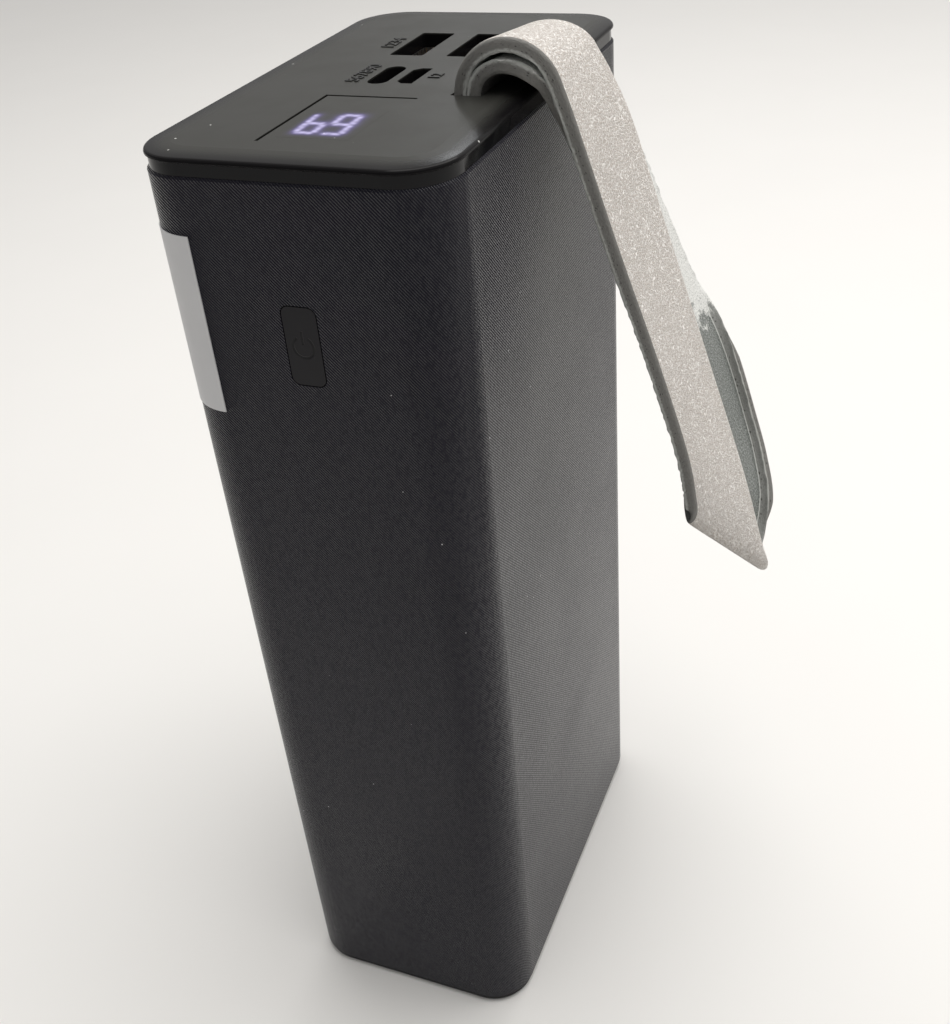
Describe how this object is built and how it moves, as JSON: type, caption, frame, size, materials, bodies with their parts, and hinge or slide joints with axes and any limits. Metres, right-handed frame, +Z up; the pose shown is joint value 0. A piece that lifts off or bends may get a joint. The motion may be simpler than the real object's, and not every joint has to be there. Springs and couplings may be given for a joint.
{
  "type": "power bank",
  "caption": "Tall rectangular power bank with a textured sleeve, top sockets and display, a side power button and a folded leather hand strap.",
  "frame": {"origin": "centre of the flat underside of the base cap, on the surface it stands on", "axes": "+Z up along the height, -Y towards the narrow face with the power button, +X towards the wide face that the strap hangs over"},
  "size_m": [0.0764, 0.0744, 0.1673],
  "materials": {
    "sleeve_black": "satin, fine twill texture",
    "cover_grey": "satin",
    "band_gloss": "polished",
    "base_black": "matte",
    "button_black": "satin",
    "label_grey": "matte film",
    "strap_leather": "pebbled grain, suede inside",
    "cradle_plastic": "matte",
    "cell_wrap": "shrink wrap",
    "nickel": "plain",
    "fish_paper": "matte",
    "foam": "matte",
    "board_green": "solder mask",
    "screw_steel": "plain",
    "lead_red": "plain",
    "lead_black": "plain",
    "ferrite": "matte",
    "chip_black": "matte",
    "capacitor_can": "satin",
    "socket_steel": "plated",
    "socket_plastic": "moulded",
    "display_white": "diffusing",
    "plunger_red": "plain"
  },
  "bodies": {
    "housing": {"sleeve": "sleeve_black", "base_cap": "base_black", "neck_ring": "band_gloss", "top_cover": "cover_grey", "side_label": "label_grey", "cell_cradle_front": "cradle_plastic", "cell_cradle_rear": "cradle_plastic", "battery_cells": "cell_wrap", "cell_strip_front": "nickel", "cell_strip_rear": "nickel", "insulator_front": "fish_paper", "insulator_rear": "fish_paper", "foam_pads": "foam", "board_tray": "cradle_plastic", "board_screws": "screw_steel", "circuit_board": "board_green", "positive_lead": "lead_red", "negative_lead": "lead_black", "power_inductors": "ferrite", "control_chips": "chip_black", "capacitors": "capacitor_can", "usb_a_shell_left": "socket_steel", "usb_a_shell_right": "socket_steel", "usb_a_tongue_left": "socket_plastic", "usb_a_tongue_right": "socket_plastic", "usb_c_shell": "socket_steel", "usb_c_tongue": "socket_plastic", "micro_usb_shell": "socket_steel", "micro_usb_tongue": "socket_plastic", "display_module": "display_white", "display_shade": "chip_black", "display_board": "board_green", "display_header": "socket_plastic", "tact_switch": "screw_steel", "strap_clamp_bar": "screw_steel", "strap_screws": "screw_steel", "strap_root": "strap_leather"},
    "button": {"power_button": "button_black", "switch_plunger": "plunger_red"},
    "strap": {"strap_loop": "strap_leather"}
  },
  "joints": [
    {"name": "button_press", "type": "slide", "parent": "housing", "child": "button", "axis": [0, 1, 0], "range_m": [0, 0.00035], "stiffness_N_per_m": 800},
    {"name": "strap_lift", "type": "hinge", "parent": "housing", "child": "strap", "pos_m": [0.0194, 0.0012, 0.16735], "axis": [0, -1, 0], "range_deg": [0, 150]}
  ]
}
